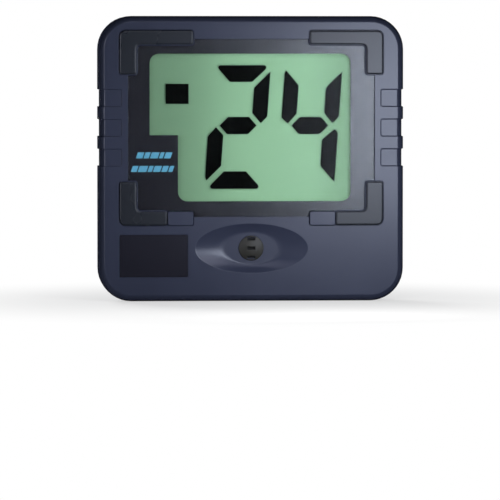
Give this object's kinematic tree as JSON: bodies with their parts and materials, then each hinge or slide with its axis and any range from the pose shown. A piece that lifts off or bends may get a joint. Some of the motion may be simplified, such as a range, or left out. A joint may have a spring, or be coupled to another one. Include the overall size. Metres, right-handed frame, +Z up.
{
  "type": "shot clock",
  "caption": "Table-top shot clock: flat upright case with a large slanted LCD behind a clear window, corner pads, push keys, a horn in an oval dish and a tripod bush.",
  "frame": {"origin": "centre of the bounding box's bottom, where the clock stands", "axes": "+Z up; the display faces -Y; +X is to the right of someone who faces the display"},
  "size_m": [0.3146, 0.0482, 0.2932],
  "materials": {
    "navy_plastic": "satin, dark slate blue",
    "pad_plastic": "satin, dark grey with a cool cast",
    "clear_acrylic": "clear and polished",
    "black_ink": "printed black sheet",
    "display_glass": "clear display glass",
    "reflector_foil": "pale grey-green, matt",
    "liquid_crystal": "black, fully driven",
    "black_plastic": "moulded black",
    "black_rubber": "matt",
    "silicone_rubber": "matt grey",
    "green_laminate": "green solder mask",
    "gloss_label": "glossy black",
    "brass": "turned",
    "steel": "zinc-plated",
    "nickel": "nickel-plated",
    "cell_wrap": "plain shrink wrap",
    "red_wire": "insulation",
    "black_wire": "insulation"
  },
  "bodies": {
    "case": {"front_cover": "navy_plastic", "rear_cover": "navy_plastic", "pad_top_left": "pad_plastic", "pad_top_right": "pad_plastic", "pad_bottom_left": "pad_plastic", "pad_bottom_right": "pad_plastic", "display_lens": "clear_acrylic", "display_mask": "black_ink", "front_glass": "display_glass", "rear_glass": "display_glass", "reflector": "reflector_foil", "tens_top_bar": "liquid_crystal", "tens_upper_right_bar": "liquid_crystal", "tens_middle_bar": "liquid_crystal", "tens_lower_left_bar": "liquid_crystal", "tens_bottom_bar": "liquid_crystal", "units_upper_left_bar": "liquid_crystal", "units_upper_right_bar": "liquid_crystal", "units_middle_bar": "liquid_crystal", "units_lower_right_bar": "liquid_crystal", "status_block": "liquid_crystal", "display_tray": "black_plastic", "controller_chip": "black_plastic", "capacitor": "black_plastic", "horn_cap": "black_plastic", "horn_housing": "black_plastic", "jack_socket": "black_plastic", "contact_strip_bottom": "black_rubber", "contact_strip_top": "black_rubber", "horn_gasket": "black_rubber", "left_key_dome": "silicone_rubber", "right_key_dome": "silicone_rubber", "main_board": "green_laminate", "label_plate": "gloss_label", "horn_disc": "brass", "tripod_bush": "brass", "board_screw_left": "steel", "board_screw_right": "steel", "case_screw_bottom_left": "steel", "case_screw_bottom_right": "steel", "case_screw_top_left": "steel", "case_screw_top_right": "steel", "power_switch": "steel", "crystal": "nickel", "contact_negative": "nickel", "contact_positive": "nickel", "contact_link_left": "nickel", "contact_link_upper_right": "nickel", "contact_link_lower_right": "nickel", "battery_1": "cell_wrap", "battery_2": "cell_wrap", "battery_3": "cell_wrap", "battery_4": "cell_wrap", "battery_lead_red": "red_wire", "horn_lead": "red_wire", "battery_lead_black": "black_wire"},
    "left_key": {"left_key": "navy_plastic"},
    "right_key": {"right_key": "navy_plastic"},
    "power_knob": {"power_knob": "black_plastic"},
    "battery_door": {"battery_door": "navy_plastic"}
  },
  "joints": [
    {"name": "left_key_push", "type": "slide", "parent": "case", "child": "left_key", "axis": [0, 1, 0], "range_m": [0, 0.0012], "stiffness_N_per_m": 500, "springref_m": -0.002, "deforming": ["left_key_dome"]},
    {"name": "right_key_push", "type": "slide", "parent": "case", "child": "right_key", "axis": [0, 1, 0], "range_m": [0, 0.0012], "stiffness_N_per_m": 500, "springref_m": -0.002, "deforming": ["right_key_dome"]},
    {"name": "power_knob_slide", "type": "slide", "parent": "case", "child": "power_knob", "axis": [0, 0, -1], "range_m": [0, 0.004]},
    {"name": "battery_door_hinge", "type": "hinge", "parent": "case", "child": "battery_door", "pos_m": [0, 0.0223, 0.1793], "axis": [1, 0, 0], "range_deg": [0, 90]}
  ]
}
